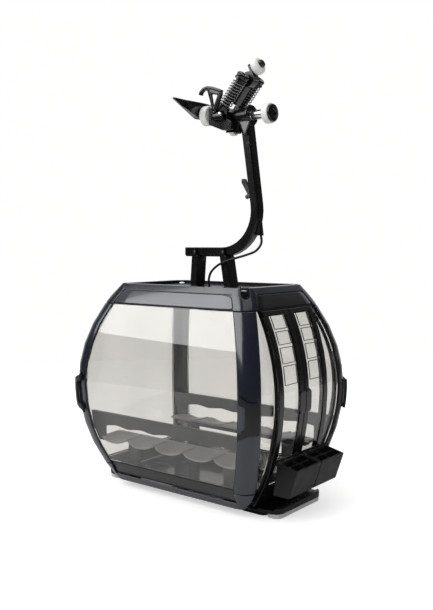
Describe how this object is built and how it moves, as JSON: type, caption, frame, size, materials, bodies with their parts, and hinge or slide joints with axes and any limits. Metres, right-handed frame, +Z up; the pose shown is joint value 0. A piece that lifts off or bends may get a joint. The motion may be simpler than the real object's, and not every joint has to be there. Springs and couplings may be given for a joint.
{
  "type": "scale model ropeway cabin with hanger and spring grip",
  "caption": "Barrel-shaped ropeway cabin with windows on every side, sliding door leaves with ski boxes, facing benches, bent hanger arm and spring grip with rollers.",
  "frame": {"origin": "middle of the outline on the floor under the two skids", "axes": "+X towards the door side, Y along the rope, +Z up"},
  "size_m": [0.081, 0.056, 0.1385],
  "materials": {
    "shell": "satin",
    "black": "satin",
    "interior": "matte",
    "strip": "matte",
    "white": "satin",
    "silver": "satin",
    "smoke": "gloss"
  },
  "bodies": {
    "cabin": {"floor_tray": "shell", "roof_cap": "shell", "pillar_front_door": "shell", "pillar_rear_door": "shell", "pillar_front_blind": "shell", "pillar_rear_blind": "shell", "band_front": "black", "band_rear": "black", "band_blind_side": "black", "window_front": "smoke", "window_rear": "smoke", "window_blind_side": "smoke", "side_pane_front": "smoke", "side_pane_rear": "smoke", "door_surround": "black", "pad_front_door": "black", "pad_rear_door": "black", "pad_front_blind": "black", "pad_rear_blind": "black", "skid_door_side": "black", "skid_blind_side": "black", "skid_strip_door_side": "strip", "skid_strip_blind_side": "strip", "bench_front": "interior", "bench_rear": "interior", "backrest_front": "interior", "backrest_rear": "interior", "hanger_arm": "black", "hanger_post_inner": "black", "hanger_post_outer": "black", "hanger_hook": "black", "cable_gland": "black", "cable": "black"},
    "door_front": {"leaf_front": "black", "leaf_glass_front": "smoke", "ski_box_front": "black"},
    "door_rear": {"leaf_rear": "black", "leaf_glass_rear": "smoke", "ski_box_rear": "black"},
    "grip": {"grip_body": "black", "grip_shaft": "silver", "grip_lever": "black", "grip_bracket": "black", "rope_guides": "black", "spring_front": "silver", "spring_rear": "silver", "spring_rod_front": "black", "spring_rod_rear": "black"},
    "outer_roller": {"roller_outer": "white", "hub_outer": "black"},
    "inner_roller": {"roller_inner": "white"},
    "top_roller": {"roller_top": "white", "hub_top": "black"},
    "low_roller": {"roller_low": "white"}
  },
  "joints": [
    {"name": "door_front_slide", "type": "slide", "parent": "cabin", "child": "door_front", "axis": [0.5, -0.866, 0], "range_m": [0, 0.0105]},
    {"name": "door_rear_slide", "type": "slide", "parent": "cabin", "child": "door_rear", "axis": [0.5, 0.866, 0], "range_m": [0, 0.0105]},
    {"name": "grip_swing", "type": "hinge", "parent": "cabin", "child": "grip", "pos_m": [-0.00263, 0, 0.1212], "axis": [1, 0, 0], "range_deg": [-40, 40]},
    {"name": "outer_roller_spin", "type": "hinge", "parent": "grip", "child": "outer_roller", "pos_m": [0.02062, 0, 0.1212], "axis": [1, 0, 0], "continuous": true},
    {"name": "inner_roller_spin", "type": "hinge", "parent": "grip", "child": "inner_roller", "pos_m": [-0.00323, 0, 0.1227], "axis": [1, 0, 0], "continuous": true},
    {"name": "top_roller_spin", "type": "hinge", "parent": "grip", "child": "top_roller", "pos_m": [0.01637, 0, 0.1358], "axis": [0.9135, 0, 0.4067], "continuous": true},
    {"name": "low_roller_spin", "type": "hinge", "parent": "grip", "child": "low_roller", "pos_m": [0.00717, 0, 0.1174], "axis": [1, 0, 0], "continuous": true}
  ]
}
